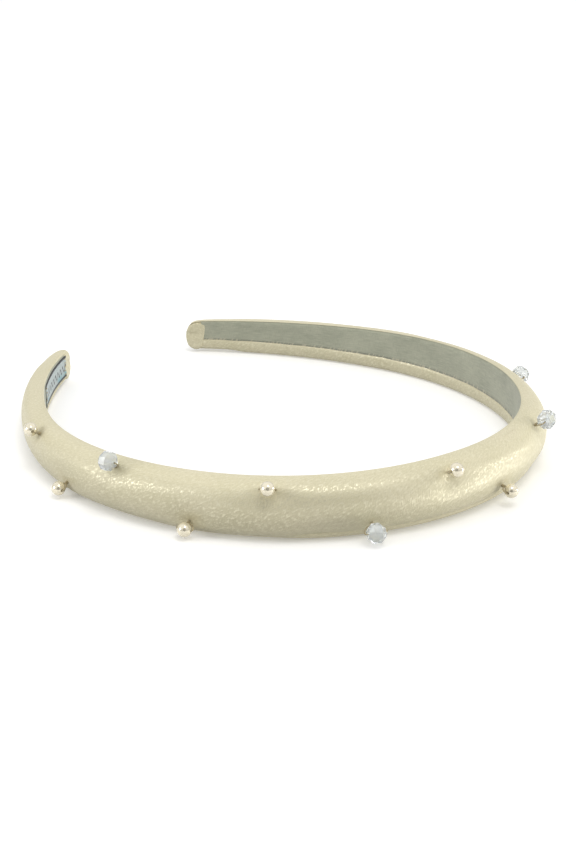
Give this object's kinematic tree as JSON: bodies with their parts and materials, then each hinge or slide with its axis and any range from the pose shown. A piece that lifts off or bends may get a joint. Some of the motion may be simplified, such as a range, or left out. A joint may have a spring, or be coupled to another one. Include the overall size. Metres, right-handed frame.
{
  "type": "padded headband",
  "caption": "Slim padded satin headband: a springy open hoop, tapered towards its ends, with pearls and faceted crystals sewn on.",
  "frame": {"origin": "under the middle of the overall size, on the plane that the lower edge rests on", "axes": "the hoop lies in the XY plane; its crown faces -Y, its opening faces +Y, and +Z runs across the band from the lower edge to the upper one"},
  "size_m": [0.1441, 0.1552, 0.0176],
  "materials": {
    "satin": "champagne satin, matt sheen, fine crosswise rib",
    "lining": "grey-green woven ribbon, matt",
    "label": "woven label, dull",
    "plastic_core": "moulded, plain",
    "foam": "open-cell foam",
    "pearl": "pearlescent, glossy",
    "crystal": "clear, faceted, polished",
    "thread": "twisted sewing thread"
  },
  "bodies": {
    "left_half": {"core_left": "plastic_core", "foam_left": "foam", "cover_left": "satin", "lining_left": "lining", "end_fold_left": "satin", "label": "label", "thread_1": "thread", "thread_2": "thread", "thread_3": "thread", "thread_4": "thread", "thread_5": "thread", "thread_6": "thread", "thread_7": "thread"},
    "right_half": {"core_right": "plastic_core", "foam_right": "foam", "cover_right": "satin", "lining_right": "lining", "end_fold_right": "satin", "thread_8": "thread", "thread_9": "thread", "thread_10": "thread", "thread_11": "thread", "thread_12": "thread", "thread_13": "thread"},
    "bead_1": {"pearl_1": "pearl"},
    "bead_2": {"pearl_2": "pearl"},
    "bead_3": {"crystal_3": "crystal"},
    "bead_4": {"pearl_4": "pearl"},
    "bead_5": {"pearl_5": "pearl"},
    "bead_6": {"crystal_6": "crystal"},
    "bead_7": {"pearl_7": "pearl"},
    "bead_8": {"pearl_8": "pearl"},
    "bead_9": {"crystal_9": "crystal"},
    "bead_10": {"pearl_10": "pearl"},
    "bead_11": {"crystal_11": "crystal"},
    "bead_12": {"pearl_12": "pearl"},
    "bead_13": {"pearl_13": "pearl"}
  },
  "joints": [
    {"name": "hoop_flex", "type": "hinge", "parent": "left_half", "child": "right_half", "pos_m": [0, -0.07485, 0.0083], "axis": [0, 0, -1], "range_deg": [0, 16], "stiffness_Nm_per_rad": 1},
    {"name": "pearl_1_spin", "type": "hinge", "parent": "left_half", "child": "bead_1", "pos_m": [-0.06741, 0.01571, 0.01236], "axis": [0.2209, 0.9753, 0], "continuous": true},
    {"name": "pearl_2_spin", "type": "hinge", "parent": "left_half", "child": "bead_2", "pos_m": [-0.07027, -0.00236, 0.00268], "axis": [-0.008, 1, 0], "continuous": true},
    {"name": "crystal_3_spin", "type": "hinge", "parent": "left_half", "child": "bead_3", "pos_m": [-0.06666, -0.02083, 0.01513], "axis": [-0.2433, 0.97, 0], "continuous": true},
    {"name": "pearl_4_spin", "type": "hinge", "parent": "left_half", "child": "bead_4", "pos_m": [-0.05922, -0.04223, 0.0026], "axis": [-0.5077, 0.8616, 0], "continuous": true},
    {"name": "pearl_5_spin", "type": "hinge", "parent": "left_half", "child": "bead_5", "pos_m": [-0.04594, -0.05746, 0.01476], "axis": [-0.7317, 0.6816, 0], "continuous": true},
    {"name": "crystal_6_spin", "type": "hinge", "parent": "left_half", "child": "bead_6", "pos_m": [-0.02536, -0.07257, 0.00332], "axis": [-0.9305, 0.3663, 0], "continuous": true},
    {"name": "pearl_7_spin", "type": "hinge", "parent": "left_half", "child": "bead_7", "pos_m": [-0.00338, -0.07577, 0.01497], "axis": [-0.9988, 0.05, 0], "continuous": true},
    {"name": "pearl_8_spin", "type": "hinge", "parent": "right_half", "child": "bead_8", "pos_m": [0.01593, -0.07517, 0.00441], "axis": [0.9729, 0.2312, 0], "continuous": true},
    {"name": "crystal_9_spin", "type": "hinge", "parent": "right_half", "child": "bead_9", "pos_m": [0.03795, -0.06463, 0.01515], "axis": [0.83, 0.5577, 0], "continuous": true},
    {"name": "pearl_10_spin", "type": "hinge", "parent": "right_half", "child": "bead_10", "pos_m": [0.06102, -0.0394, 0.00303], "axis": [0.4711, 0.8821, 0], "continuous": true},
    {"name": "crystal_11_spin", "type": "hinge", "parent": "right_half", "child": "bead_11", "pos_m": [0.06848, -0.02422, 0.00974], "axis": [0.2771, 0.9609, 0], "continuous": true},
    {"name": "pearl_12_spin", "type": "hinge", "parent": "right_half", "child": "bead_12", "pos_m": [0.07025, -0.00403, 0.00269], "axis": [0.029, 0.9996, 0], "continuous": true},
    {"name": "pearl_13_spin", "type": "hinge", "parent": "right_half", "child": "bead_13", "pos_m": [0.06817, 0.01588, 0.0025], "axis": [-0.2209, 0.9753, 0], "continuous": true}
  ]
}
